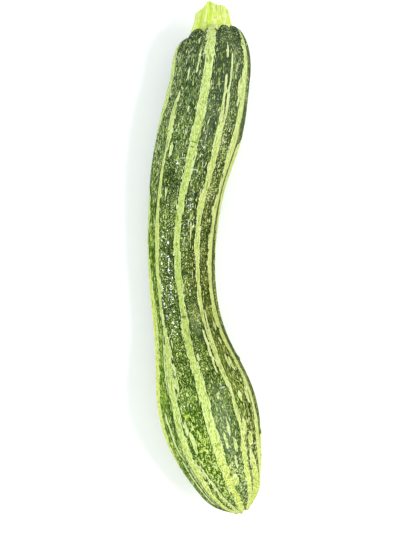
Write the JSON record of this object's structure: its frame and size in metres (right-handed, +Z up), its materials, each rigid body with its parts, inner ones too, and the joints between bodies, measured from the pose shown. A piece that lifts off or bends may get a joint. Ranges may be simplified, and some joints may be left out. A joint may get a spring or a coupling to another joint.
{
  "type": "zucchini",
  "caption": "Long bent zucchini with low lengthwise ribs, a rounded lobed shoulder under a short cut stem, and a fuller blossom end, lying on its side.",
  "frame": {"origin": "under the middle of the object's bounding box, on the plane that the fruit lies on", "axes": "+Y towards the stem end, +Z up from the surface it lies on, +X to the side that the blossom end bends to"},
  "size_m": [0.0712, 0.3156, 0.0606],
  "materials": {
    "striped_skin": "waxy, softly glossy skin: dark green mottled bands between pale yellow-green stripes",
    "pale_stem": "matt, ridged and fibrous, pale yellow-green"
  },
  "bodies": {
    "root": {"fruit": "striped_skin", "stem": "pale_stem"}
  },
  "joints": []
}
